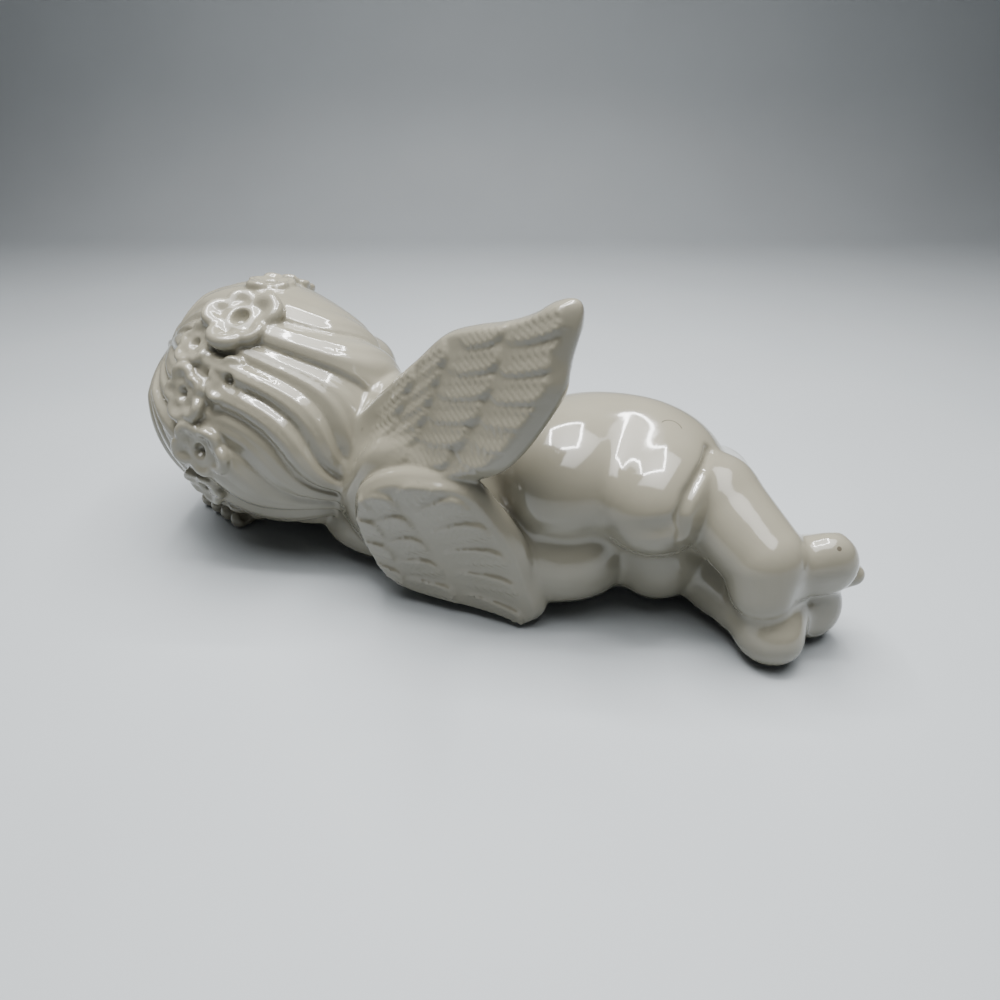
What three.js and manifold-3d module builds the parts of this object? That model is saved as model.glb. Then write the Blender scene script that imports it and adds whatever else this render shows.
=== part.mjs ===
// A glazed porcelain cherub, cast in one piece, asleep on its left side with its head on its hand.
// It has a wreath of blossoms in its hair and two feathered wings, one raised and one folded to the
// ground. Millimetres, +Z up, +X towards the feet, and the back with the wings towards -Y. The origin
// is on the ground, under the middle of the figure.
//
// The body is one soft form: a distance field is built up from named limbs, pads and feathers that
// melt into each other as slip does in a mould, and then given a skin of triangles.
import * as THREE from "three";
import { mergeVertices } from "three/addons/utils/BufferGeometryUtils.js";
import Module from "manifold-3d";

// Driving sizes, in millimetres.
const FIGURE_LENGTH = 275;
const WING_THICKNESS = 7;
const FEATHER_RELIEF = 2.8;
const HAIR_RELIEF = 3.8;
const CREASE_DEPTH = 3;
const SKIN_TRIANGLES = 9500;

// The pose is written in parts of the figure's own length, of which there are this many.
const LENGTH_PARTS = 274.6;
const MM_PER_PART = FIGURE_LENGTH / LENGTH_PARTS;
const parts = (millimetres) => millimetres / MM_PER_PART;
const SAMPLE_STEP = 1.6;
const FAR = 30;

// Small vector tools.
const add = (a, b) => [a[0] + b[0], a[1] + b[1], a[2] + b[2]];
const sub = (a, b) => [a[0] - b[0], a[1] - b[1], a[2] - b[2]];
const mul = (a, s) => [a[0] * s, a[1] * s, a[2] * s];
const dot = (a, b) => a[0] * b[0] + a[1] * b[1] + a[2] * b[2];
const cross = (a, b) => [a[1] * b[2] - a[2] * b[1], a[2] * b[0] - a[0] * b[2], a[0] * b[1] - a[1] * b[0]];
const unit = (a) => mul(a, 1 / Math.hypot(...a));
const clamp = (v, low, high) => Math.min(Math.max(v, low), high);
const mix = (a, b, t) => a + (b - a) * t;
const turn = (degrees) => (degrees * Math.PI) / 180;
const smoothStep = (t) => clamp(t, 0, 1) ** 2 * (3 - 2 * clamp(t, 0, 1));

// A frame of its own for each part of the body: x along, z up, and y to the left of x.
function frame(origin, along, up) {
  const x = unit(along);
  const z = unit(sub(up, mul(x, dot(up, x))));
  return { origin, x, y: cross(z, x), z };
}
const inFrame = (f, [x, y, z]) => add(f.origin, add(mul(f.x, x), add(mul(f.y, y), mul(f.z, z))));
const GROUND = frame([0, 0, 0], [1, 0, 0], [0, 0, 1]);

// The field: distance to the skin at each sample, negative inside.
const LOW = [-164, -62, -6];
const HIGH = [136, 76, 128];
const COUNT = LOW.map((low, i) => Math.ceil((HIGH[i] - low) / SAMPLE_STEP) + 1);
const distances = new Float32Array(COUNT[0] * COUNT[1] * COUNT[2]).fill(FAR);

// Visits the samples in a box round a part, with the sample's place in the part's own frame.
function visit(f, low, high, change) {
  const corners = [0, 1, 2, 3, 4, 5, 6, 7].map((n) =>
    inFrame(f, [n & 1 ? high[0] : low[0], n & 2 ? high[1] : low[1], n & 4 ? high[2] : low[2]]));
  const from = [0, 1, 2].map((i) =>
    Math.max(0, Math.floor((Math.min(...corners.map((c) => c[i])) - LOW[i]) / SAMPLE_STEP)));
  const to = [0, 1, 2].map((i) =>
    Math.min(COUNT[i] - 1, Math.ceil((Math.max(...corners.map((c) => c[i])) - LOW[i]) / SAMPLE_STEP)));
  for (let k = from[2]; k <= to[2]; k++)
    for (let j = from[1]; j <= to[1]; j++)
      for (let i = from[0]; i <= to[0]; i++) {
        const p = [LOW[0] + i * SAMPLE_STEP, LOW[1] + j * SAMPLE_STEP, LOW[2] + k * SAMPLE_STEP];
        const q = sub(p, f.origin);
        const at = (k * COUNT[1] + j) * COUNT[0] + i;
        distances[at] = change(distances[at], dot(q, f.x), dot(q, f.y), dot(q, f.z));
      }
}

// Joins two distances with a fillet of about that softness.
function melt(a, b, softness) {
  const h = Math.max(softness - Math.abs(a - b), 0) / softness;
  return Math.min(a, b) - (h * h * softness) / 4;
}
const carve = (a, b, softness) => -melt(-a, b, softness);

// Distance to an egg of three radii. A bluntness of 2 is a true ellipsoid, and more is squarer.
function eggDistance(x, y, z, radii, blunt = 2) {
  const part = [Math.abs(x) / radii[0], Math.abs(y) / radii[1], Math.abs(z) / radii[2]];
  const near = (part[0] ** blunt + part[1] ** blunt + part[2] ** blunt) ** (1 / blunt);
  if (near < 1e-6) return -Math.min(...radii);
  const slope = Math.hypot(...part.map((p, i) => (p / near) ** (blunt - 1) / radii[i]));
  return (near - 1) / slope;
}

// An egg-shaped pad, given by its centre and three radii.
function egg(f, centre, radii, softness, join = melt, blunt = 2) {
  const reach = radii.map((r) => r + softness + 2 * SAMPLE_STEP);
  visit(f, sub(centre, reach), add(centre, reach), (d, x, y, z) =>
    join(d, eggDistance(x - centre[0], y - centre[1], z - centre[2], radii, blunt), softness));
}

// A limb from a to b, with a radius at each end.
function limb(f, a, ra, b, rb, softness) {
  const reach = Math.max(ra, rb) + softness + 2 * SAMPLE_STEP;
  const low = a.map((v, i) => Math.min(v, b[i]) - reach);
  const high = a.map((v, i) => Math.max(v, b[i]) + reach);
  const run = sub(b, a);
  const length2 = dot(run, run);
  visit(f, low, high, (d, x, y, z) => {
    const q = [x - a[0], y - a[1], z - a[2]];
    const t = clamp(dot(q, run) / length2, 0, 1);
    const off = Math.hypot(q[0] - run[0] * t, q[1] - run[1] * t, q[2] - run[2] * t);
    return melt(d, off - mix(ra, rb, t), softness);
  });
}

// A soft groove pressed along a path of points.
function groove(f, path, width, depth) {
  const reach = 2.5 * width;
  const low = [0, 1, 2].map((i) => Math.min(...path.map((p) => p[i])) - reach);
  const high = [0, 1, 2].map((i) => Math.max(...path.map((p) => p[i])) + reach);
  visit(f, low, high, (d, x, y, z) => {
    let nearest = Infinity;
    for (let n = 1; n < path.length; n++) {
      const run = sub(path[n], path[n - 1]);
      const q = [x - path[n - 1][0], y - path[n - 1][1], z - path[n - 1][2]];
      const t = clamp(dot(q, run) / dot(run, run), 0, 1);
      nearest = Math.min(nearest, Math.hypot(q[0] - run[0] * t, q[1] - run[1] * t, q[2] - run[2] * t));
    }
    return d + depth * Math.exp(-((nearest / width) ** 2));
  });
}

// The trunk: chest and belly, with the spine turned to -Y, then the waist and the seat, each in an
// upper and a lower half.
function trunk() {
  egg(GROUND, [-38, 2, 36], [34, 28, 37], 8);
  egg(GROUND, [-4, 4, 35.5], [34, 28.5, 36.5], 14);
  egg(GROUND, [-4, 20, 33], [36, 22, 32], 14);
  egg(GROUND, [26, 5, 50.5], [25, 33, 23], 6);
  egg(GROUND, [26, 8, 24], [26, 33, 24], 3.5);
  egg(GROUND, [55.5, 7, 48], [21, 30, 21], 6);
  egg(GROUND, [57, 16, 26], [18.5, 25, 24], 3.5);
}

function legs() {
  // Right leg, on top: the thigh drawn forward, and the calf coming back over the seat.
  limb(GROUND, [54, 16, 43], 22, [68, 40, 35], 14, 6);
  limb(GROUND, [68, 40, 35], 14, [72, 8, 46.5], 15.5, 4);
  limb(GROUND, [72, 8, 46.5], 15.5, [92, -3, 35], 13, 3);
  // Left leg, on the ground.
  limb(GROUND, [54, 17, 24], 22, [78, 44, 15], 16, 6);
  limb(GROUND, [78, 44, 15], 16, [80, 14.5, 15], 15.5, 4);
  limb(GROUND, [80, 14.5, 15], 15.5, [97, -3, 12], 11.5, 3);
}

// A foot: heel at the frame's origin, x to the toes, z to the instep, and the big toe to the side
// given as 1 or -1.
function foot(f, bigToe) {
  egg(f, [0, 0, 1], [11, 10.5, 11], 4);
  egg(f, [11, 0, 5], [17, 9.5, 10], 5);
  egg(f, [23.5, -bigToe, 1], [9, 11, 7], 5);
  groove(f, [[8, 1.5 * bigToe, -8.5], [18, 3.5 * bigToe, -7]], 5, 1.2);
  for (let toe = 0; toe < 5; toe++) {
    const side = bigToe * (9.4 - toe * 4.3);
    const size = toe === 0 ? 4.2 : 3.3 - 0.2 * toe;
    limb(f, [25, 0.9 * side, 0.5], size, [29.5 + toe, side, 0], size, 1);
  }
}
const RIGHT_FOOT = frame([94.5, -7, 26.5], [0.79, 0.54, 0.29], [-0.54, 0.84, 0.03]);
const LEFT_FOOT = frame([99.8, -7.2, 10.5], [0.53, 0.84, 0.1], [-0.84, 0.53, 0.05]);

function arms() {
  // Right arm, on top, bent, with its hand on the ground before the chin.
  limb(GROUND, [-44, 5, 50], 15.5, [-61, 21, 45], 13.5, 7);
  limb(GROUND, [-61, 21, 45], 13.5, [-46, 52, 32], 11, 6);
  limb(GROUND, [-46, 52, 32], 11, [-74, 58, 14], 8, 4);
  // Left arm, along the ground, with its hand under the head.
  limb(GROUND, [-46, 16, 18], 15, [-58, 46, 11], 11.5, 7);
  limb(GROUND, [-58, 46, 11], 11.5, [-106, 24, 8], 8.5, 4);
  // The web of clay that closes the gap between the arms, the chin and the chest, and the left
  // shoulder on the ground.
  egg(GROUND, [-74, 36, 25], [17, 16, 17], 5);
  egg(GROUND, [-50, 0, 15], [26, 21, 15], 5);
}

function hands() {
  egg(GROUND, [-119, 9, 6], [14, 13, 7.5], 4);
  for (let finger = 0; finger < 4; finger++)
    limb(GROUND, [-130 + 6.5 * finger, 1, 5], 4.2, [-138 + 8 * finger, -4 - 3 * finger, 4], 3.8, 1.2);
  egg(GROUND, [-83, 57, 9], [11, 9, 8], 4);
  for (let finger = 0; finger < 4; finger++)
    limb(GROUND, [-88, 63 - 5 * finger, 7], 3.4, [-98 + finger, 62 - 5.4 * finger, 4.5], 3, 1.2);
}

// The head: z to the crown, x to the face, y to the ground-side ear.
const HEAD = frame([-101, 6.5, 53], [0.19, 0.977, -0.1], [-0.966, 0.202, 0.14]);
HEAD.z = unit([-0.966, 0.202, 0.14]);
HEAD.y = unit(cross(HEAD.z, HEAD.x));
HEAD.x = cross(HEAD.y, HEAD.z);
const SKULL = [40.5, 41, 43.5];
const LOCKS = 13;
const WHORL = unit([-0.63, -0.44, 0.63]);
const PARTING = unit(cross(cross(WHORL, [1, 0, 0]), WHORL));
const SWEEP = cross(WHORL, PARTING);
const NAPE = unit([0.36, 0.1, -0.93]);
const FACE_TILT = turn(14);
const FACE_REACH = turn(50);

// A direction's place on the plane that the head is spread on, with the whorl in its middle.
function offWhorl(way) {
  const out = Math.tan(Math.acos(clamp(dot(way, WHORL), -1, 1)) / 2);
  const around = Math.atan2(dot(way, SWEEP), dot(way, PARTING));
  return [out * Math.cos(around), out * Math.sin(around)];
}
const NAPE_SPOT = offWhorl(NAPE);

// Height of the hair above the skull in a direction from the middle of the head. The locks wave from
// the whorl to the nape, and each swells and thins along its way.
function hair(x, y, z) {
  const length = Math.hypot(x, y, z) || 1;
  const way = [x / length, y / length, z / length];
  const [across, along] = offWhorl(way);
  const out = Math.hypot(across, along);
  const left = Math.hypot(across - NAPE_SPOT[0], along - NAPE_SPOT[1]);
  const run = out / (out + left);
  const turned = Math.atan2(along, across) - Math.atan2(along - NAPE_SPOT[1], across - NAPE_SPOT[0]);
  const strand = (LOCKS * turned) / (2 * Math.PI) + 0.3 * Math.sin(2 * turned + 1)
    + 0.42 * Math.sin(8 * run + 3 * turned) + 0.14 * Math.sin(16 * run - 2 * turned);
  const lock = ((Math.floor(strand) % LOCKS) + LOCKS) % LOCKS;
  const part = strand - Math.floor(strand);
  const swell = (0.8 + 0.2 * Math.sin(2.4 * lock)) * (1 + 0.25 * Math.sin(11 * run + 2.1 * lock));
  const ends = clamp(out / 0.25, 0, 1) * clamp(left / 0.3, 0, 1);
  const toFace = Math.acos(clamp(way[0] * Math.cos(FACE_TILT) - way[2] * Math.sin(FACE_TILT), -1, 1));
  const cover = clamp((toFace - FACE_REACH) / 0.18, 0, 1);
  return parts(HAIR_RELIEF) * cover * (0.6 + swell * Math.sin(Math.PI * part ** 0.8) ** 0.65 * ends);
}

function head() {
  const reach = Math.max(...SKULL) + 12;
  limb(GROUND, [-84, 6, 45], 19, [-50, 5, 41], 26, 7);
  visit(HEAD, [-reach, -reach, -reach], [reach, reach, reach], (d, x, y, z) =>
    melt(d, eggDistance(x, y, z, SKULL) - hair(x, y, z), 2.5));
  egg(HEAD, [17, 0, -15], [26, 29, 26], 10);
}

// The sleeping face: cheeks, closed lids, brows, nose, lips and chin. Hair covers the ears.
function face() {
  for (const side of [-1, 1]) {
    egg(HEAD, [32, 14 * side, -17], [12, 12, 12], 5);
    egg(HEAD, [37.5, 13.5 * side, -3.5], [7, 8, 6], 3);
    groove(HEAD, [[44, 7 * side, -6], [45, 13.5 * side, -8.5], [40.5, 20 * side, -6]], 1.2, 1.3);
    limb(HEAD, [41, 7 * side, 6], 1.6, [38.5, 18 * side, 5], 1.4, 5);
    egg(HEAD, [44, 3.4 * side, -13.6], [3, 2.6, 2.4], 1.5);
    egg(HEAD, [43.6, 2.7 * side, -20.8], [3, 3.9, 1.9], 1.2);
  }
  limb(HEAD, [41, 0, 3], 2.6, [45, 0, -10.5], 3.5, 4);
  egg(HEAD, [46.5, 0, -12.3], [4.5, 4.2, 3.8], 2);
  egg(HEAD, [42.8, 0, -24.4], [3.2, 4.6, 2.4], 1.2);
  egg(HEAD, [38.5, 0, -31], [7, 8.5, 6.5], 4);
  groove(HEAD, [[44, -6, -21.6], [47, 0, -22.6], [44, 6, -21.6]], 0.9, 0.9);
}

// The wreath: a ring that dips to the back of the head, with a blossom at each of these places,
// given by the angle round the head from the brow and the blossom's radius.
const BLOSSOM_LIFT = 3.5;
const WREATH_REACH = 84;
const WREATH_DIP = 22;
const BLOSSOMS = [[-76, 9.5], [-114, 15], [-138, 9], [-160, 10.5], [174, 12.5], [144, 10], [108, 11],
  [72, 9.5], [37, 9], [0, 11], [-38, 10]];

function onWreath(degrees, height, drop = 0) {
  const around = turn(degrees);
  const reach = turn(WREATH_REACH - WREATH_DIP * Math.cos(around) + drop);
  const way = [Math.sin(reach) * Math.cos(around), Math.sin(reach) * Math.sin(around), Math.cos(reach)];
  const place = mul(way, 1 / Math.hypot(...way.map((w, i) => w / (SKULL[i] + height))));
  const out = sub(inFrame(HEAD, way), HEAD.origin);
  return frame(inFrame(HEAD, place), cross(out, sub(inFrame(HEAD, [0, 0, 1]), HEAD.origin)), out);
}

// A full petal, dented in its middle. x runs out from the blossom's heart.
function petal(f, radius) {
  const radii = [0.5 * radius, 0.42 * radius, 0.27 * radius];
  const reach = radii[0] + 4;
  visit(f, [-reach, -reach, -reach], [reach, reach, reach], (d, x, y, z) => {
    const dent = 0.15 * radius * Math.exp(-((x / (0.3 * radius)) ** 2) - (y / (0.2 * radius)) ** 2);
    return melt(d, eggDistance(x, y, z + dent, radii, 2.3), 0.6);
  });
}

function blossom(f, radius) {
  egg(f, [0, 0, -0.1 * radius], [0.72 * radius, 0.72 * radius, 0.4 * radius], 1);
  for (let n = 0; n < 5; n++) {
    const a = (2 * Math.PI * (n + 0.5)) / 5;
    const out = add(mul(f.x, Math.cos(a)), mul(f.y, Math.sin(a)));
    const heart = inFrame(f, [0, 0, 0.16 * radius]);
    petal(frame(add(heart, mul(out, 0.54 * radius)), add(out, mul(f.z, 0.3)), f.z), radius);
  }
  egg(f, [0, 0, 0.4 * radius], [0.28 * radius, 0.28 * radius, 0.34 * radius], 0.7, carve);
  egg(f, [0, 0, 0.1 * radius], [0.13 * radius, 0.13 * radius, 0.2 * radius], 0.5);
}

function wreath() {
  BLOSSOMS.forEach(([angle, radius], n) => {
    const next = BLOSSOMS[(n + 1) % BLOSSOMS.length][0];
    const between = angle + (((next - angle + 540) % 360) - 180) / 2;
    for (const drop of [-7, 7]) egg(onWreath(between, 2, drop), [0, 0, 0], [7, 4, 3], 0.8);
    blossom(onWreath(angle, BLOSSOM_LIFT), radius);
  });
}

// A wing: x from the back to the wing's tip, y to its leading edge, z out of its feathered face. The rim
// is the outline of its plate, and a band along it is bare. The rows of feathers are listed from the
// tips inwards. Each row fans from a curve of roots to a curve of tips.
const RIGHT_WING = {
  frame: frame([-36, -16, 62], [69.8, -12, 51.5], [-0.328, -0.904, 0.276]),
  side: 1,
  bare: 2.5,
  rim: [[-14, 6], [0, 10], [14, 12], [28, 13.5], [42, 15], [54, 12], [66, 7.5], [76, 5], [84, 4.5],
    [90, 1.5], [87.5, -5], [81, -12], [76, -19], [66, -25], [52, -30.5], [41, -31.5], [24, -28],
    [2, -20], [-14, -12], [-20, -3]],
  pads: [[[0, -2, -7], [26, 15, 8]]],
  rows: [
    { count: 7, half: 5.6, roots: [[66, 5], [50, -17], [30, -21]], tips: [[89, -1], [77, -28], [40, -31]] },
    { count: 6, half: 5.4, roots: [[50, 12], [31, -2], [14, -11]], tips: [[67, 6], [58, -11.5], [32, -20]] },
    { count: 6, half: 4.6, roots: [[27, 10], [8.5, -1], [-4, -9]], tips: [[43, 10], [31, 0], [16, -13]] },
    { count: 5, half: 4.2, roots: [[10, 8], [-4, 0], [-16, -8]], tips: [[26, 9], [13, 0], [-1, -13]] },
  ],
};
const LEFT_WING = {
  frame: frame([-41, -33.5, 43], [66, 12, -37], [0.078, -0.977, -0.196]),
  side: -1,
  bare: 3.5,
  rim: [[2, -8], [3.5, 3], [9, 12.5], [18, 21], [26, 25.5], [33, 25.5], [41, 23], [53, 17], [67, 10],
    [76, 7], [77, -4], [68, -14], [58, -25], [46, -32], [33, -37], [19, -30], [8, -20]],
  pads: [[[26, -2, -10], [30, 27, 10]], [[46, -4, -9], [32, 22, 8.5]]],
  rows: [
    { count: 6, half: 6.4, roots: [[19, -13], [38, -6], [51, 13]], tips: [[25, -32], [53, -30], [73, 5]] },
    { count: 5, half: 6, roots: [[8, 0], [23.5, 12.5], [33, 23]], tips: [[16, -13], [30.5, -5.5], [49, 12]] },
    { count: 4, half: 5, roots: [[0, 4], [12, 12], [18, 24]], tips: [[8, -5], [19, 6], [31, 20]] },
  ],
};
const FEATHER_EDGE = 1.1;
const BACK_RELIEF = 0.6;

const bend = ([a, b, c], t) => a.map((v, i) => mix(mix(v, b[i], t), mix(b[i], c[i], t), t));

// A smooth closed line through points.
function closedCurve(points, steps = 4) {
  const near = (n) => points[(n + points.length) % points.length];
  return points.flatMap((b, n) => [...Array(steps).keys()].map((step) => {
    const [a, c, d] = [near(n - 1), near(n + 1), near(n + 2)];
    const t = step / steps;
    return b.map((v, i) => v + 0.5 * ((c[i] - a[i]) * t + (2 * a[i] - 5 * v + 4 * c[i] - d[i]) * t ** 2
      + (3 * v - a[i] - 3 * c[i] + d[i]) * t ** 3));
  }));
}

// Distance to a closed outline in its plane, negative inside.
function outlineDistance(x, y, outline) {
  let nearest = Infinity;
  let inside = false;
  outline.forEach((a, n) => {
    const b = outline[(n + 1) % outline.length];
    const run = [b[0] - a[0], b[1] - a[1]];
    const q = [x - a[0], y - a[1]];
    const t = clamp((q[0] * run[0] + q[1] * run[1]) / (run[0] ** 2 + run[1] ** 2), 0, 1);
    nearest = Math.min(nearest, Math.hypot(q[0] - run[0] * t, q[1] - run[1] * t));
    if (a[1] > y !== b[1] > y && q[0] < (q[1] * run[0]) / run[1]) inside = !inside;
  });
  return inside ? -nearest : nearest;
}

const feathersOf = (rows) => rows.flatMap(({ count, roots, tips, half }) =>
  [...Array(count).keys()].map((n) => {
    const root = bend(roots, n / (count - 1));
    const tip = bend(tips, n / (count - 1));
    const span = Math.hypot(tip[0] - root[0], tip[1] - root[1]);
    const middle = [(root[0] + tip[0]) / 2, (root[1] + tip[1]) / 2];
    const way = [(tip[0] - root[0]) / span, (tip[1] - root[1]) / span];
    return { middle, way, reach: span / 2 + 1.5, half };
  }));

// Height of the feathers above the wing's face. Each is lapped over the next one to the trailing edge,
// and its tip over the next row.
function plumage(x, y, feathers) {
  let height = 0;
  for (const { middle, way, reach, half } of feathers) {
    const q = [x - middle[0], y - middle[1]];
    const run = (q[0] * way[0] + q[1] * way[1]) / reach;
    const off = (q[0] * way[1] - q[1] * way[0]) / half;
    const inside = 1 - (Math.abs(run) ** 3.2 + Math.abs(off) ** 2.6) ** (1 / 2.6);
    const lap = parts(FEATHER_RELIEF) * Math.max(0.5 + 0.42 * off + 0.3 * run, 0.04);
    height = Math.max(height, smoothStep((inside * half) / FEATHER_EDGE) * lap);
  }
  return height;
}

function wing({ frame: f, side, bare, rim, pads, rows }) {
  const outline = closedCurve(rim.map(([x, y]) => [x, side * y]));
  const feathers = feathersOf(rows);
  const half = parts(WING_THICKNESS) / 2;
  const deep = half + 7;
  const low = [0, 1].map((i) => Math.min(...outline.map((p) => p[i])) - 6);
  const high = [0, 1].map((i) => Math.max(...outline.map((p) => p[i])) + 6);
  for (const [[x, y, z], radii] of pads) egg(f, [x, side * y, z], radii, 6, melt, 2.6);
  visit(f, [...low, -deep], [...high, deep], (d, x, y, z) => {
    if (Math.abs(z) > deep) return d;
    const across = outlineDistance(x, y, outline);
    const relief = plumage(x, side * y, feathers) * smoothStep((-across - bare) / 2.5);
    const face = Math.abs(z) - relief * (z > 0 ? 1 : BACK_RELIEF);
    const edge = across + half;
    const off = Math.hypot(Math.max(edge, 0), Math.max(face, 0)) + Math.min(Math.max(edge, face), 0) - half;
    return melt(d, off, 2);
  });
}

// Soft folds pressed in the flesh: between the buttocks and up the spine, and round the waist.
function folds() {
  const cleft = [[68, -20, 50], [59, -24, 48], [46, -29, 46], [33, -29, 42], [0, -27, 38], [-20, -26, 38]];
  const waist = [[46, 12, 78], [48, -8, 74], [49, -24, 62], [48, -30, 50], [48, -30, 30], [47, -16, 4]];
  groove(GROUND, cleft, 2.6, parts(CREASE_DEPTH));
  groove(GROUND, waist, 3.5, parts(CREASE_DEPTH) / 2);
}

function build() {
  trunk();
  folds();
  legs();
  foot(RIGHT_FOOT, 1);
  foot(LEFT_FOOT, -1);
  arms();
  hands();
  head();
  face();
  wreath();
  wing(RIGHT_WING);
  wing(LEFT_WING);
}

// The skin: every cube of samples is split in six tetrahedra, and each gives its triangles.
const CUBE_CORNERS = [[0, 0, 0], [1, 0, 0], [0, 1, 0], [1, 1, 0], [0, 0, 1], [1, 0, 1], [0, 1, 1], [1, 1, 1]];
const TETRAHEDRA = [[0, 1, 3, 7], [0, 3, 2, 7], [0, 2, 6, 7], [0, 6, 4, 7], [0, 4, 5, 7], [0, 5, 1, 7]];
function skin() {
  const points = [];
  const triangles = [];
  const made = new Map();
  const offset = CUBE_CORNERS.map(([i, j, k]) => (k * COUNT[1] + j) * COUNT[0] + i);
  const place = (n) => {
    const i = n % COUNT[0];
    const j = Math.floor(n / COUNT[0]) % COUNT[1];
    const k = Math.floor(n / (COUNT[0] * COUNT[1]));
    return [LOW[0] + i * SAMPLE_STEP, LOW[1] + j * SAMPLE_STEP, LOW[2] + k * SAMPLE_STEP];
  };
  const crossing = (a, b) => {
    const key = a < b ? a * distances.length + b : b * distances.length + a;
    if (!made.has(key)) {
      const t = clamp(distances[a] / (distances[a] - distances[b]), 0.08, 0.92);
      const from = place(a);
      made.set(key, points.length);
      points.push(add(from, mul(sub(place(b), from), t)));
    }
    return made.get(key);
  };
  for (let k = 0; k < COUNT[2] - 1; k++)
    for (let j = 0; j < COUNT[1] - 1; j++)
      for (let i = 0; i < COUNT[0] - 1; i++) {
        const base = (k * COUNT[1] + j) * COUNT[0] + i;
        let inside = 0;
        for (let c = 0; c < 8; c++) if (distances[base + offset[c]] < 0) inside++;
        if (inside === 0 || inside === 8) continue;
        for (const tetrahedron of TETRAHEDRA) {
          const corners = tetrahedron.map((c) => base + offset[c]);
          const solid = corners.filter((c) => distances[c] < 0);
          const empty = corners.filter((c) => distances[c] >= 0);
          if (!solid.length || !empty.length) continue;
          const middle = (list) => mul(list.map(place).reduce(add), 1 / list.length);
          const out = sub(middle(empty), middle(solid));
          let ring;
          if (solid.length === 1) ring = empty.map((e) => crossing(solid[0], e));
          else if (empty.length === 1) ring = solid.map((s) => crossing(s, empty[0]));
          else
            ring = [crossing(solid[0], empty[0]), crossing(solid[0], empty[1]),
              crossing(solid[1], empty[1]), crossing(solid[1], empty[0])];
          for (let n = 2; n < ring.length; n++) {
            const face = [ring[0], ring[n - 1], ring[n]];
            const [a, b, c] = face.map((v) => points[v]);
            if (dot(cross(sub(b, a), sub(c, a)), out) < 0) face.reverse();
            triangles.push(face);
          }
        }
      }
  return { points, triangles };
}

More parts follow.
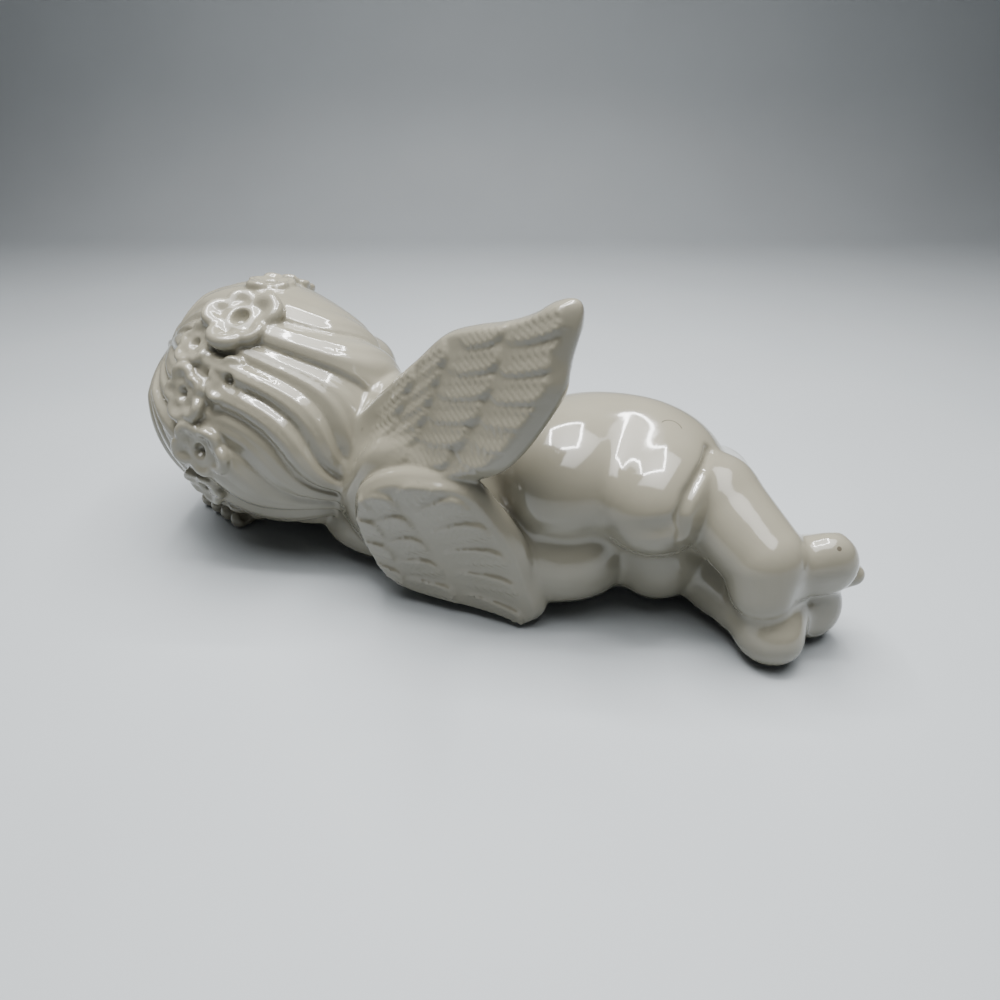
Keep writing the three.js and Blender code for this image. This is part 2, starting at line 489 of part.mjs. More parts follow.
// Thins a skin to a number of triangles. Each step closes the edge whose closing moves the surface
// least, by the quadric that sums the squared distances to the planes round its ends.
function thin({ points, triangles }, wanted) {
  const faces = triangles.map((face) => [...face]);
  const alive = faces.map(() => true);
  const around = points.map(() => new Set());
  const quadrics = points.map(() => new Float64Array(10));
  const stamp = new Int32Array(points.length);
  const normal = (a, b, c) => cross(sub(b, a), sub(c, a));
  faces.forEach((face, n) => {
    const [a, b, c] = face.map((v) => points[v]);
    const area = normal(a, b, c);
    const size = Math.hypot(...area) || 1e-12;
    const [x, y, z] = mul(area, 1 / size);
    const w = -dot([x, y, z], a);
    const terms = [x * x, x * y, x * z, x * w, y * y, y * z, y * w, z * z, z * w, w * w];
    for (const v of face) {
      around[v].add(n);
      terms.forEach((term, i) => (quadrics[v][i] += term * size));
    }
  });
  const cost = (q, [x, y, z]) =>
    q[0] * x * x + 2 * q[1] * x * y + 2 * q[2] * x * z + 2 * q[3] * x + q[4] * y * y + 2 * q[5] * y * z
    + 2 * q[6] * y + q[7] * z * z + 2 * q[8] * z + q[9];
  // The place where the summed quadric is least, or the edge's middle where that is ill defined.
  const best = (q, a, b) => {
    const middle = mul(add(a, b), 0.5);
    const m = [q[4] * q[7] - q[5] * q[5], q[2] * q[5] - q[1] * q[7], q[1] * q[5] - q[2] * q[4]];
    const n = [q[0] * q[7] - q[2] * q[2], q[1] * q[2] - q[0] * q[5], q[0] * q[4] - q[1] * q[1]];
    const whole = q[0] * m[0] + q[1] * m[1] + q[2] * m[2];
    if (Math.abs(whole) < 1e-3 * Math.abs(q[0] * q[4] * q[7]) + 1e-9) return middle;
    const at = mul([m[0] * q[3] + m[1] * q[6] + m[2] * q[8], m[1] * q[3] + n[0] * q[6] + n[1] * q[8],
      m[2] * q[3] + n[1] * q[6] + n[2] * q[8]], -1 / whole);
    return Math.hypot(...sub(at, middle)) < Math.hypot(...sub(a, b)) ? at : middle;
  };
  // A heap of edges, the cheapest first.
  const heap = [];
  const push = (item) => {
    let n = heap.push(item) - 1;
    while (n > 0 && heap[(n - 1) >> 1].cost > item.cost) {
      heap[n] = heap[(n - 1) >> 1];
      n = (n - 1) >> 1;
    }
    heap[n] = item;
  };
  const pop = () => {
    const first = heap[0];
    const last = heap.pop();
    if (heap.length) {
      let n = 0;
      for (let child = 1; child < heap.length; child = 2 * n + 1) {
        if (child + 1 < heap.length && heap[child + 1].cost < heap[child].cost) child++;
        if (heap[child].cost >= last.cost) break;
        heap[n] = heap[child];
        n = child;
      }
      heap[n] = last;
    }
    return first;
  };
  const offer = (a, b) => {
    const sum = quadrics[a].map((v, i) => v + quadrics[b][i]);
    const at = best(sum, points[a], points[b]);
    const length2 = dot(sub(points[a], points[b]), sub(points[a], points[b]));
    push({ a, b, at, cost: Math.max(cost(sum, at), 0) + 1e-4 * length2, age: stamp[a] + stamp[b] });
  };
  const neighbours = (v) => new Set([...around[v]].flatMap((n) => faces[n]).filter((w) => w !== v));
  const flips = (v, other, at) => [...around[v]].some((n) => {
    const face = faces[n];
    if (face.includes(other)) return false;
    const before = normal(...face.map((w) => points[w]));
    const after = normal(...face.map((w) => (w === v ? at : points[w])));
    return dot(before, after) < 0.3 * Math.hypot(...before) * Math.hypot(...after);
  });
  faces.forEach(([a, b, c]) => [[a, b], [b, c], [c, a]].forEach(([v, w]) => v < w && offer(v, w)));
  let left = faces.length;
  while (left > wanted && heap.length) {
    const { a, b, at, age } = pop();
    if (stamp[a] < 0 || stamp[b] < 0 || stamp[a] + stamp[b] !== age) continue;
    const shared = [...neighbours(a)].filter((v) => neighbours(b).has(v));
    if (shared.length !== 2 || flips(a, b, at) || flips(b, a, at)) continue;
    points[a] = at;
    quadrics[a] = quadrics[a].map((v, i) => v + quadrics[b][i]);
    for (const n of around[b]) {
      if (faces[n].includes(a)) {
        alive[n] = false;
        left--;
        faces[n].forEach((v) => v !== b && around[v].delete(n));
      } else {
        faces[n][faces[n].indexOf(b)] = a;
        around[a].add(n);
      }
    }
    around[b].clear();
    stamp[b] = -1e9;
    stamp[a]++;
    for (const v of neighbours(a)) offer(a, v);
  }
  return { points, triangles: faces.filter((_, n) => alive[n]) };
}

build();
const figure = thin(skin(), SKIN_TRIANGLES);

// The flat seat: what lies below the ground is cut away.
const wasm = await Module();
wasm.setup();
const solid = (points, triangles) =>
  new wasm.Manifold(new wasm.Mesh({
    numProp: 3,
    vertProperties: new Float32Array(points.flat()),
    triVerts: new Uint32Array(triangles.flat()),
  }));
const number = new Map();
const used = [];
for (const v of figure.triangles.flat())
  if (!number.has(v)) {
    number.set(v, used.length);
    used.push(figure.points[v]);
  }
const ends = [0, 1].map((i) => [Math.min(...used.map((p) => p[i])), Math.max(...used.map((p) => p[i]))]);
const middle = ends.map(([low, high]) => (low + high) / 2);
const placed = used.map(([x, y, z]) => mul([x - middle[0], y - middle[1], z], MM_PER_PART));
const block = new THREE.BoxGeometry(2 * FIGURE_LENGTH, 2 * FIGURE_LENGTH, FIGURE_LENGTH)
  .translate(0, 0, FIGURE_LENGTH / 2).deleteAttribute("normal").deleteAttribute("uv");
const room = mergeVertices(block);
const corners = [...Array(room.attributes.position.count).keys()].map((n) =>
  new THREE.Vector3().fromBufferAttribute(room.attributes.position, n).toArray());
const cut = solid(placed, figure.triangles.map((face) => face.map((v) => number.get(v))))
  .intersect(solid(corners, [[...room.index.array]])).getMesh();

const geometry = new THREE.BufferGeometry();
geometry.setAttribute("position", new THREE.BufferAttribute(cut.vertProperties, 3));
geometry.setIndex(new THREE.BufferAttribute(cut.triVerts, 1));
const glaze = new THREE.MeshStandardMaterial({ color: 0xe9e6da, roughness: 0.12, metalness: 0 });
const cherub = new THREE.Mesh(geometry, glaze);
cherub.name = "cherub";
const group = new THREE.Group();
group.add(cherub);
export default group;
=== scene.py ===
# A glazed porcelain cherub asleep on its side, on a pale board. The solid in the frame gives the place
# and the size. The figure has a fine skin, with its curls, petals, feathers, face and toes, and a
# cream glaze. Lengths are millimetres along the figure until the skin is scaled to metres.
import math
import bpy
import bmesh
import numpy as np
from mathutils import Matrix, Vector


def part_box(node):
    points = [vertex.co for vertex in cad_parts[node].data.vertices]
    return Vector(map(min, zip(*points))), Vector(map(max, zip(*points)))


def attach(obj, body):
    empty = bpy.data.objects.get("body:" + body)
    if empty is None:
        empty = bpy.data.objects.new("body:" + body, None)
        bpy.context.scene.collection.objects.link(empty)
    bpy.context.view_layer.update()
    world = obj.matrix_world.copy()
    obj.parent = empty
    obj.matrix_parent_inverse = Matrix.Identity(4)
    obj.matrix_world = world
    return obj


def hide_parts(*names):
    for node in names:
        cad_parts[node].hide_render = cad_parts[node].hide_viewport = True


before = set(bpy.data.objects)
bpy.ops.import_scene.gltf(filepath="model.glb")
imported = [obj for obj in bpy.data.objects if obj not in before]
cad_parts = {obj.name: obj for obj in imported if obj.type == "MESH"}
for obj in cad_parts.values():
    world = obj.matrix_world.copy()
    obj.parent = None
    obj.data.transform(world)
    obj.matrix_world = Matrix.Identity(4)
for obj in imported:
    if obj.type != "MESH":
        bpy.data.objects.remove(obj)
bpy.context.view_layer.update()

# Sizes in millimetres.
WING_THICKNESS = 7.0
FEATHER_RELIEF = 2.8
HAIR_RELIEF = 3.8
STRAND_SHARE = 0.12
CREASE_DEPTH = 3.0
PETAL_RUFFLE = 0.35
BARB_RELIEF = 0.5
BARB_PITCH = 2.8
QUILL_RELIEF = 0.35
SAMPLE_STEP = 0.74
GLAZE_SOFTENING = 0.45
SKIN_TRIANGLES = 190000
# The box of space that the field covers, and the distance that it starts from.
LOW = np.array([-164.0, -62.0, -6.0])
HIGH = np.array([136.0, 76.0, 128.0])
FAR = 30.0


def unit(a):
    a = np.asarray(a, float)
    return a / np.linalg.norm(a)


def mix(a, b, t):
    return a + (b - a) * t


def smooth_step(t):
    t = np.clip(t, 0, 1)
    return t * t * (3 - 2 * t)


class Frame:
    """A frame of its own for a part of the body: x along, z up, y to the left of x."""

    def __init__(self, origin, along, up):
        self.origin = np.asarray(origin, float)
        self.x = unit(along)
        up = np.asarray(up, float)
        self.z = unit(up - self.x * np.dot(up, self.x))
        self.y = np.cross(self.z, self.x)

    def place(self, p):
        return self.origin + self.x * p[0] + self.y * p[1] + self.z * p[2]

    def local(self, points):
        q = points - self.origin
        return q @ self.x, q @ self.y, q @ self.z


GROUND = Frame((0, 0, 0), (1, 0, 0), (0, 0, 1))

# The field: distance to the skin at each sample, negative inside.
COUNT = [int(math.ceil((high - low) / SAMPLE_STEP)) + 1 for low, high in zip(LOW, HIGH)]
AXES = [LOW[i] + SAMPLE_STEP * np.arange(COUNT[i]) for i in range(3)]
field = np.full(COUNT, FAR, np.float32)


def visit(f, low, high, change):
    """Change the field in a box of a part's own frame."""
    corners = np.array([f.place((x, y, z)) for x in (low[0], high[0]) for y in (low[1], high[1])
                        for z in (low[2], high[2])])
    first = np.clip(np.floor((corners.min(0) - LOW) / SAMPLE_STEP), 0, None).astype(int)
    last = np.minimum(np.ceil((corners.max(0) - LOW) / SAMPLE_STEP).astype(int), np.array(COUNT) - 1) + 1
    if np.any(last <= first):
        return
    part = tuple(slice(a, b) for a, b in zip(first, last))
    q = [AXES[i][part[i]] - f.origin[i] for i in range(3)]
    xyz = [(q[0] * way[0])[:, None, None] + (q[1] * way[1])[None, :, None] + (q[2] * way[2])[None, None, :]
           for way in (f.x, f.y, f.z)]
    field[part] = change(field[part], *xyz)


def melt(a, b, softness):
    """Join two forms with a soft hollow between them."""
    h = np.maximum(softness - np.abs(a - b), 0) / softness
    return np.minimum(a, b) - h * h * softness / 4


def carve(a, b, softness):
    """Cut the second form out of the first."""
    return -melt(-a, b, softness)


def egg_distance(x, y, z, radii, blunt=2.0):
    """Distance to an egg about the middle; a blunt one is nearer to a rounded box."""
    part = [np.abs(v) / r for v, r in zip((x, y, z), radii)]
    if blunt == 2.0:
        near = np.sqrt(part[0] ** 2 + part[1] ** 2 + part[2] ** 2) + 1e-6
        rate = np.sqrt(sum((p / r) ** 2 for p, r in zip(part, radii))) / near + 1e-6
    else:
        near = (part[0] ** blunt + part[1] ** blunt + part[2] ** blunt) ** (1 / blunt) + 1e-6
        rate = np.sqrt(sum(((p / near) ** (blunt - 1) / r) ** 2 for p, r in zip(part, radii))) + 1e-6
    return np.maximum((near - 1) / rate, -min(radii))


def egg(f, centre, radii, softness, join=melt, blunt=2.0):
    centre = np.asarray(centre, float)
    reach = np.asarray(radii, float) + softness + 2 * SAMPLE_STEP
    visit(f, centre - reach, centre + reach, lambda d, x, y, z: join(
        d, egg_distance(x - centre[0], y - centre[1], z - centre[2], radii, blunt), softness))


def along(x, y, z, a, b):
    """How far along a to b, and how far off it, each sample lies."""
    run = b - a
    q = (x - a[0], y - a[1], z - a[2])
    t = np.clip((q[0] * run[0] + q[1] * run[1] + q[2] * run[2]) / np.dot(run, run), 0, 1)
    return t, np.sqrt((q[0] - run[0] * t) ** 2 + (q[1] - run[1] * t) ** 2 + (q[2] - run[2] * t) ** 2)


def limb(f, a, ra, b, rb, softness):
    """A round limb from a to b, whose radius goes from ra to rb."""
    a, b = np.asarray(a, float), np.asarray(b, float)
    reach = max(ra, rb) + softness + 2 * SAMPLE_STEP

    def change(d, x, y, z):
        t, off = along(x, y, z, a, b)
        return melt(d, off - mix(ra, rb, t), softness)
    visit(f, np.minimum(a, b) - reach, np.maximum(a, b) + reach, change)


def groove(f, path, width, depth):
    """Sink the skin along a path."""
    path = [np.asarray(p, float) for p in path]
    reach = 2.5 * width

    def change(d, x, y, z):
        nearest = np.full(d.shape, 1e9)
        for a, b in zip(path[:-1], path[1:]):
            nearest = np.minimum(nearest, along(x, y, z, a, b)[1])
        return d + depth * np.exp(-((nearest / width) ** 2))
    visit(f, np.min(path, 0) - reach, np.max(path, 0) + reach, change)


def trunk():
    egg(GROUND, (-38, 2, 36), (34, 28, 37), 8)
    egg(GROUND, (-4, 4, 35.5), (34, 28.5, 36.5), 14)
    egg(GROUND, (-4, 20, 33), (36, 22, 32), 14)
    # The waist and the seat, each in an upper and a lower half.
    egg(GROUND, (26, 5, 50.5), (25, 33, 23), 6)
    egg(GROUND, (44, 16, 49.5), (26, 21, 23.5), 9)
    egg(GROUND, (26, 8, 24), (26, 33, 24), 3.5)
    egg(GROUND, (55.5, 7, 48), (21, 30, 21), 6)
    egg(GROUND, (57, 16, 26), (18.5, 25, 24), 3.5)


def legs():
    limb(GROUND, (54, 16, 43), 22, (68, 40, 35), 14, 6)
    limb(GROUND, (68, 40, 35), 14, (72.5, 8, 46), 15.5, 2.5)
    limb(GROUND, (72.5, 8, 46), 15.5, (92, -4, 35.5), 13, 1.5)
    limb(GROUND, (54, 17, 24), 22, (78, 44, 15), 16, 6)
    limb(GROUND, (78, 44, 15), 16, (80, 14.5, 15), 15.5, 4)
    limb(GROUND, (80, 14.5, 15), 15.5, (97, -3, 12), 11.5, 3)


def foot(f, big_toe):
    egg(f, (0, 0, 1), (11, 10.5, 11), 4)
    egg(f, (11, 0, 5), (17, 9.5, 10), 5)
    egg(f, (21, -big_toe, 0), (9.5, 11, 7.5), 5)
    groove(f, [(8, 1.5 * big_toe, -8.5), (18, 3.5 * big_toe, -7)], 5, 1.2)
    for toe in range(5):
        side = big_toe * (9.4 - toe * 4.3)
        size = 3.8 if toe == 0 else 3.1 - 0.2 * toe
        limb(f, (22, 0.9 * side, 2.5), size, (30 - 1.1 * toe, 0.95 * side, 2), size, 1.3)


RIGHT_FOOT = Frame((94.5, -7, 26.5), (0.79, 0.54, 0.29), (-0.54, 0.84, 0.03))
LEFT_FOOT = Frame((99.8, -7.2, 10.5), (0.53, 0.84, 0.1), (-0.84, 0.53, 0.05))


def arms():
    limb(GROUND, (-44, 5, 50), 15.5, (-61, 21, 45), 13.5, 7)
    limb(GROUND, (-61, 21, 45), 13.5, (-46, 52, 32), 11, 6)
    limb(GROUND, (-46, 52, 32), 11, (-74, 58, 14), 8, 4)
    limb(GROUND, (-46, 16, 18), 15, (-58, 46, 11), 11.5, 7)
    limb(GROUND, (-58, 46, 11), 11.5, (-106, 24, 8), 8.5, 4)
    # The web of clay that closes the gap between the arms, the chin and the chest.
    egg(GROUND, (-74, 36, 25), (17, 16, 17), 5)
    egg(GROUND, (-50, 0, 15), (26, 21, 15), 5)


def hands():
    egg(GROUND, (-119, 9, 6), (14, 13, 7.5), 4)
    for finger in range(4):
        limb(GROUND, (-130 + 6.5 * finger, 1, 5), 4.2, (-138 + 8 * finger, -4 - 3 * finger, 4), 3.8, 1.2)
    egg(GROUND, (-83, 57, 9), (11, 9, 8), 4)
    for finger in range(4):
        limb(GROUND, (-88, 63 - 5 * finger, 7), 3.4, (-98 + finger, 62 - 5.4 * finger, 4.5), 3, 1.2)


# The head's frame: x to the face, y down to the lower cheek, z to the crown, whose direction is kept.
HEAD = Frame((-101, 6.5, 53), (0.19, 0.977, -0.1), (-0.966, 0.202, 0.14))
HEAD.z = unit((-0.966, 0.202, 0.14))
HEAD.y = unit(np.cross(HEAD.z, HEAD.x))
HEAD.x = np.cross(HEAD.y, HEAD.z)
SKULL = (40.5, 41, 43.5)
LOCKS = 17
WHORL = unit((-0.63, -0.44, 0.63))
PARTING = unit(np.cross(np.cross(WHORL, (1, 0, 0)), WHORL))
SWEEP = np.cross(WHORL, PARTING)
NAPE = unit((0.2, 0.3, -0.93))
NAPE_MASS = (34, 38, 43)
NAPE_MIDDLE = (-3, -1, -15)
# The hairline lies this far round from the middle of the face, and rises over this turn.
FACE_TILT = math.radians(14)
FACE_REACH = math.radians(50)
HAIRLINE = 0.18


def off_whorl(way):
    """A direction's place on the plane that the head is spread on, with the whorl in its middle."""
    up = np.clip(sum(w * v for w, v in zip(way, WHORL)), -1, 1)
    out = np.tan(np.arccos(up) / 2)
    around = np.arctan2(sum(w * v for w, v in zip(way, SWEEP)), sum(w * v for w, v in zip(way, PARTING)))
    return out * np.cos(around), out * np.sin(around)


NAPE_SPOT = off_whorl(NAPE)


def hair(x, y, z):
    """Height of the hair above the skull in a direction from the middle of the head. Wavy locks run
    from the whorl to the nape, each rounded, with finer strands on it."""
    length = np.sqrt(x * x + y * y + z * z) + 1e-6
    way = (x / length, y / length, z / length)
    across, along_head = off_whorl(way)
    out = np.hypot(across, along_head)
    left = np.hypot(across - NAPE_SPOT[0], along_head - NAPE_SPOT[1])
    run = out / (out + left)
    turned = np.arctan2(along_head, across) - np.arctan2(along_head - NAPE_SPOT[1], across - NAPE_SPOT[0])
    strand = LOCKS * turned / (2 * math.pi) + 0.3 * np.sin(2 * turned + 1) \
        + 0.45 * np.sin(8 * run + 3 * turned) + 0.3 * np.sin(19 * run - 2 * turned)
    lock = np.floor(strand) % LOCKS
    part = strand - np.floor(strand)
    swell = (0.85 + 0.15 * np.sin(2.4 * lock)) * (1 + 0.25 * np.sin(11 * run + 2.1 * lock))
    round_lock = swell * np.sin(math.pi * part ** 0.8) ** 0.5
    fine = np.abs(np.cos(3 * math.pi * part))
    ends = np.clip(out / 0.25, 0, 1) * np.clip(left / 0.15, 0, 1)
    to_face = np.arccos(np.clip(way[0] * math.cos(FACE_TILT) - way[2] * math.sin(FACE_TILT), -1, 1))
    cover = smooth_step((to_face - FACE_REACH) / HAIRLINE)
    return HAIR_RELIEF * cover * (0.4 + (round_lock + STRAND_SHARE * fine) * ends)


def head():
    """The neck, the head in its hair, which is full at the nape, and the jaw."""
    reach = max(SKULL) + 12
    limb(GROUND, (-84, 6, 45), 19, (-50, 5, 41), 26, 7)

    def change(d, x, y, z):
        nape = egg_distance(x - NAPE_MIDDLE[0], y - NAPE_MIDDLE[1], z - NAPE_MIDDLE[2], NAPE_MASS)
        return melt(d, melt(egg_distance(x, y, z, SKULL), nape, 6) - hair(x, y, z), 1.8)
    visit(HEAD, (-reach, -reach, -reach - 8), (reach,) * 3, change)
    egg(HEAD, (17, 0, -15), (26, 29, 26), 10)


def face():
    """Cheeks, closed lids with a lash line, brows, nostrils, lips, nose and chin."""
    for side in (-1, 1):
        egg(HEAD, (32, 14 * side, -17), (12, 12, 12), 5)
        egg(HEAD, (37.5, 13.5 * side, -3.5), (7, 8, 6), 3)
        groove(HEAD, [(44, 7 * side, -6), (45, 13.5 * side, -8.5), (40.5, 20 * side, -6)], 1.2, 1.3)
        limb(HEAD, (41, 7 * side, 6), 1.6, (38.5, 18 * side, 5), 1.4, 5)
        egg(HEAD, (44, 3.4 * side, -13.6), (3, 2.6, 2.4), 1.5)
        egg(HEAD, (43.6, 2.7 * side, -20.8), (3, 3.9, 1.9), 1.2)
    limb(HEAD, (41, 0, 3), 2.6, (45, 0, -10.5), 3.5, 4)
    egg(HEAD, (46.5, 0, -12.3), (4.5, 4.2, 3.8), 2)
    egg(HEAD, (42.8, 0, -24.4), (3.2, 4.6, 2.4), 1.2)
    egg(HEAD, (38.5, 0, -31), (7, 8.5, 6.5), 4)
    groove(HEAD, [(44, -6, -21.6), (47, 0, -22.6), (44, 6, -21.6)], 0.9, 0.9)


BLOSSOM_LIFT = 3.5
WREATH_REACH = 84
WREATH_DIP = 22
# Each blossom's angle round the head from the brow, its radius and how far it hangs below the ring.
BLOSSOMS = [(-68, 8.5, 0), (-93, 9.5, 2), (-122, 14.5, 5), (-141, 9, -12), (-149, 9, 10),
            (-163, 10.5, -11), (175, 12, 0), (149, 9.5, -4), (108, 11, 0), (72, 9.5, 0), (37, 9, 0),
            (0, 11, 0), (-37, 10, 0)]
LEAF = (8, 4.5, 3.4)
LEAF_DROP = 7


def on_wreath(degrees, height, drop=0):
    """The frame of a place on the wreath's ring, above the skull, with z outwards."""
    a = math.radians(degrees)
    reach = math.radians(WREATH_REACH - WREATH_DIP * math.cos(a) + drop)
    way = np.array((math.sin(reach) * math.cos(a), math.sin(reach) * math.sin(a), math.cos(reach)))
    place = way / np.linalg.norm(way / (np.array(SKULL) + height))
    out = HEAD.place(way) - HEAD.origin
    return Frame(HEAD.place(place), np.cross(out, HEAD.z), out)


def petal(f, radius):
    """A full petal, dented in its middle, with a wavy rim; x runs out from the blossom's heart."""
    long, wide, thick = 0.5 * radius, 0.47 * radius, 0.26 * radius
    reach = long + 4

    def change(d, x, y, z):
        dent = 0.2 * radius * np.exp(-((x / (0.34 * radius)) ** 2) - (y / (0.24 * radius)) ** 2)
        ruffle = PETAL_RUFFLE * np.sin(5 * np.arctan2(y, x + long)) * np.clip(x / long, 0, 1)
        return melt(d, egg_distance(x, y, z + dent - ruffle, (long, wide, thick), 2.3), 0.6)
    visit(f, (-reach,) * 3, (reach,) * 3, change)


def blossom(f, radius):
    """Five petals that lean up round a hollow heart, no two alike."""
    egg(f, (0, 0, -0.15 * radius), (0.8 * radius, 0.8 * radius, 0.48 * radius), 1.5)
    for n in range(5):
        a = 2 * math.pi * (n + 0.5 + 0.12 * math.sin(3 * n)) / 5 + radius
        out = f.x * math.cos(a) + f.y * math.sin(a)
        full = radius * (0.97 + 0.1 * math.sin(2.3 * n + radius))
        petal(Frame(f.place((0, 0, 0.16 * radius)) + out * 0.5 * full,
                    out + f.z * (0.36 + 0.12 * math.sin(1.7 * n + radius)), f.z), full)
    egg(f, (0, 0, 0.45 * radius), (0.27 * radius, 0.22 * radius, 0.42 * radius), 0.8, carve)


def wreath():
    """Blossoms round the head, with a leaf above and below the ring between each two."""
    for n, (angle, radius, drop) in enumerate(BLOSSOMS):
        following = BLOSSOMS[(n + 1) % len(BLOSSOMS)][0]
        between = angle + ((following - angle + 540) % 360 - 180) / 2
        for below in (-LEAF_DROP, LEAF_DROP):
            egg(on_wreath(between, 2, below), (0, 0, 0), LEAF, 0.8)
        blossom(on_wreath(angle, BLOSSOM_LIFT, drop), radius)


# Each wing's frame, the bare width inside its rim, the rim's outline, the pads of flesh behind it, and
# its rows of feathers: how many, the curves of their roots and tips, and half their width.
RIGHT_WING = dict(
    frame=Frame((-36, -16, 62), (69.8, -12, 51.5), (-0.328, -0.904, 0.276)), side=1, bare=0.6,
    rim=[(-14, 6), (0, 10), (14, 12), (28, 13.5), (42, 15), (54, 12), (66, 7.5), (76, 5), (84, 4.5),
         (90, 1.5), (87.5, -5), (81, -12), (76, -19), (66, -25), (52, -30.5), (41, -31.5), (24, -28),
         (2, -20), (-14, -12), (-20, -3)],
    pads=[((0, -2, -7), (26, 15, 8))],
    rows=[
        dict(count=7, half=6.4, roots=((66, 5), (50, -17), (30, -21)),
             tips=((89, -1), (77, -28), (40, -31))),
        dict(count=6, half=6.4, roots=((50, 12), (31, -2), (14, -11)),
             tips=((67, 6), (58, -11.5), (32, -20))),
        dict(count=6, half=5.6, roots=((27, 10), (8.5, -1), (-4, -9)),
             tips=((43, 10), (31, 0), (16, -13))),
        dict(count=5, half=5, roots=((10, 8), (-4, 0), (-16, -8)),
             tips=((26, 9), (13, 0), (-1, -13))),
    ])
LEFT_WING = dict(
    frame=Frame((-41, -33.5, 43), (66, 12, -37), (0.078, -0.977, -0.196)), side=-1, bare=1.2,
    rim=[(2, -8), (3.5, 3), (9, 12.5), (18, 21), (26, 25.5), (33, 25.5), (41, 23), (53, 17), (67, 10),
         (76, 7), (77, -4), (68, -14), (58, -25), (46, -32), (33, -37), (19, -30), (8, -20)],
    pads=[((26, -2, -10), (30, 27, 10)), ((46, -4, -9), (32, 22, 8.5))],
    rows=[
        dict(count=6, half=7.4, roots=((19, -13), (38, -6), (51, 13)),
             tips=((25, -32), (53, -30), (73, 5))),
        dict(count=5, half=7.2, roots=((8, 0), (23.5, 12.5), (33, 23)),
             tips=((16, -13), (30.5, -5.5), (49, 12))),
        dict(count=4, half=6.2, roots=((0, 4), (12, 12), (18, 24)),
             tips=((8, -5), (19, 6), (31, 20))),
    ])


FEATHER_EDGE = 0.8
# The share of the relief that lies under the feathers, and the share that shows on a wing's back.
FEATHER_BED = 0.45
BACK_RELIEF = 0.6


def bend(curve, t):
    """A place on a curve that starts and ends at its first and last points."""
    a, b, c = (np.array(p, float) for p in curve)
    return mix(mix(a, b, t), mix(b, c, t), t)


def closed_curve(points, steps=4):
    """A smooth closed line through points."""
    made = []
    count = len(points)
    for n in range(count):
        a, b, c, d = (np.array(points[(n + k) % count], float) for k in (-1, 0, 1, 2))
        for step in range(steps):
            t = step / steps
            made.append(0.5 * (2 * b + (c - a) * t + (2 * a - 5 * b + 4 * c - d) * t ** 2
                               + (3 * b - a - 3 * c + d) * t ** 3))
    return made


def outline_distance(x, y, outline):
    """Distance to a closed outline in its plane, negative inside."""
    nearest = np.full(x.shape, 1e9)
    inside = np.zeros(x.shape, bool)
    for a, b in zip(outline, outline[1:] + outline[:1]):
        run = b - a
        px, py = x - a[0], y - a[1]
        t = np.clip((px * run[0] + py * run[1]) / (run @ run), 0, 1)
        nearest = np.minimum(nearest, (px - run[0] * t) ** 2 + (py - run[1] * t) ** 2)
        if a[1] != b[1]:
            inside ^= ((a[1] > y) != (b[1] > y)) & (x < a[0] + (y - a[1]) * run[0] / run[1])
    return np.where(inside, -1, 1) * np.sqrt(nearest)


def plumage(x, y, rows):
    """Height of the feathers above the wing's face. Each is lapped over the one behind it, and its tip
    over the next row. y runs to the leading edge."""
    height = np.full(x.shape, FEATHER_BED * FEATHER_RELIEF)
    for row in rows:
        for n in range(row["count"]):
            t = n / (row["count"] - 1)
            root, tip = bend(row["roots"], t), bend(row["tips"], t)
            length = np.linalg.norm(tip - root) + 3
            u = (tip - root) / np.linalg.norm(tip - root)
            middle = (root + tip) / 2
            px, py = x - middle[0], y - middle[1]
            run = (px * u[0] + py * u[1]) / (length / 2)
            off = (px * u[1] - py * u[0]) / row["half"]
            inside = 1 - (np.abs(run) ** 3.2 + np.abs(off) ** 2.6) ** (1 / 2.6)
            edge = smooth_step(inside * row["half"] / FEATHER_EDGE)
            barbs = np.cos(2 * math.pi * (run * length / 2 - 1.2 * np.abs(off) * row["half"]) / BARB_PITCH)
            quill = QUILL_RELIEF * np.exp(-(off * row["half"] / 0.8) ** 2)
            lap = FEATHER_RELIEF * np.maximum(0.5 + 0.42 * off + 0.3 * run, 0.04)
            height = np.maximum(height, edge * (lap + BARB_RELIEF * barbs + quill))
    return height


def wing_plate(wing):
    """A wing: a plate with a round rim, feathers on both faces, and pads that join it to the back."""
    f, side, rim = wing["frame"], wing["side"], wing["rim"]
    outline = closed_curve([(x, side * y) for x, y in rim])
    half = WING_THICKNESS / 2
    low = np.min(outline, 0) - 6
    high = np.max(outline, 0) + 6

    def change(d, x, y, z):
        across = outline_distance(x, y, outline)
        feathers = plumage(x, side * y, wing["rows"]) * smooth_step((-across - wing["bare"]) / 1.8)
        face = np.abs(z) - feathers * np.where(z > 0, 1, BACK_RELIEF)
        edge = across + half
        return melt(d, np.sqrt(np.maximum(edge, 0) ** 2 + np.maximum(face, 0) ** 2)
                    + np.minimum(np.maximum(edge, face), 0) - half, 2)
    for (x, y, z), radii in wing["pads"]:
        egg(f, (x, side * y, z), radii, 6, melt, 2.6)
    visit(f, (low[0], low[1], -half - 7), (high[0], high[1], half + 7), change)


def folds():
    """The cleft along the side, and the crease round the hip."""
    groove(GROUND, [(68, -20, 50), (59, -24, 48), (46, -29, 46), (33, -29, 42), (0, -27, 38), (-20, -26, 38)],
           2.6, CREASE_DEPTH)
    groove(GROUND, [(46, 12, 78), (48, -8, 74), (49, -24, 62), (48, -30, 50), (48, -30, 30), (47, -16, 4)],
           2.2, CREASE_DEPTH / 4)


def waist_dip():
    """The soft hollow that parts the ribs from the hip over the raised side."""
    groove(GROUND, [(38, 6, 79), (37, -14, 74), (36, -26, 61), (36, -32, 46)], 6, 0.5)


